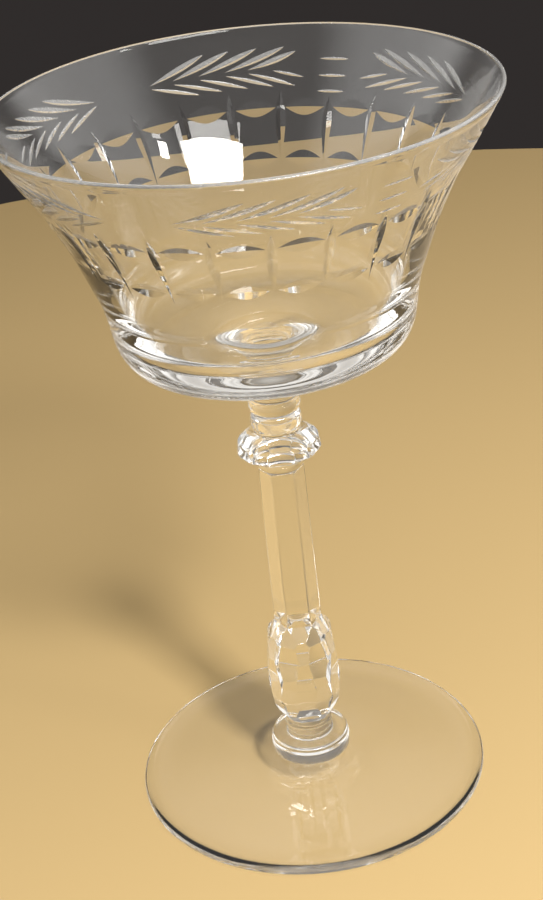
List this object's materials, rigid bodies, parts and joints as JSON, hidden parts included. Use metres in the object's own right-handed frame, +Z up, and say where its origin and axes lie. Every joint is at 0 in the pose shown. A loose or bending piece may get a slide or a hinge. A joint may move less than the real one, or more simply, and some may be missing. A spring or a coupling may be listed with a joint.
{
  "type": "sherbet glass",
  "caption": "Stemmed clear-glass sherbet: flared bell bowl, collar, faceted knop, panelled shaft, faceted baluster, button and thin round foot, for serving a dessert or a sparkling drink.",
  "frame": {"origin": "centre of the foot's underside, on the surface that the glass stands on", "axes": "+Z up along the stem's axis, from the foot to the bowl; X and Y are horizontal, with one face of the six-sided shaft looking almost along -Y"},
  "size_m": [0.1028, 0.1028, 0.1625],
  "materials": {
    "bowl_glass": "polished, with mitre and olive cuts on the outside",
    "stem_glass": "polished, with flat cut faces",
    "foot_glass": "polished"
  },
  "bodies": {
    "root": {"bowl": "bowl_glass", "bowl_collar": "stem_glass", "upper_knop": "stem_glass", "knop_ring": "stem_glass", "stem_shaft": "stem_glass", "lower_knop": "stem_glass", "foot_button": "stem_glass", "foot": "foot_glass"}
  },
  "joints": []
}
